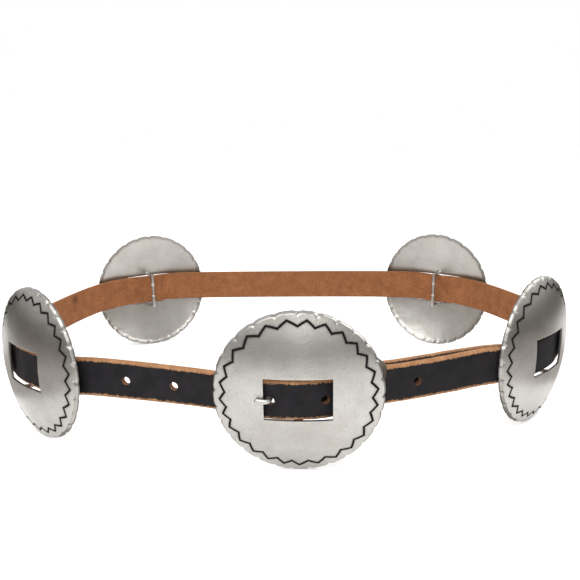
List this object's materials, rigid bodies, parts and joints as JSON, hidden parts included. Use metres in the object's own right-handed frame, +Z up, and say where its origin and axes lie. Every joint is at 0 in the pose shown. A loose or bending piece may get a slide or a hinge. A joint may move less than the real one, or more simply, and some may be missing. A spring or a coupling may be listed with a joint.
{
  "type": "leather concho belt",
  "caption": "Fastened leather belt standing as an oval loop, threaded through domed round metal conchos with window slots, one of them the buckle.",
  "frame": {"origin": "on the surface the belt stands on, under the middle of its bounding box", "axes": "+X to the wearer's left as seen from the front of the belt, along the loop's long way; -Y out of the buckle; +Z up"},
  "size_m": [0.3134, 0.2416, 0.0789],
  "materials": {
    "strap_leather": "matt black finished face, raw tan chamfered edges, brown suede-like inner face",
    "concho_metal": "cast metal with an antique silver plating, polished dome, blackened engraved zigzag",
    "tongue_metal": "polished drawn wire",
    "keeper_leather": "dark olive-black face with dark brown raw edges",
    "screw_metal": "plain nickel"
  },
  "bodies": {
    "root": {"strap": "strap_leather", "buckle_concho": "concho_metal", "right_concho": "concho_metal", "back_right_concho": "concho_metal", "back_left_concho": "concho_metal", "left_concho": "concho_metal", "tongue": "tongue_metal", "keeper": "keeper_leather", "fold_screw": "screw_metal"}
  },
  "joints": []
}
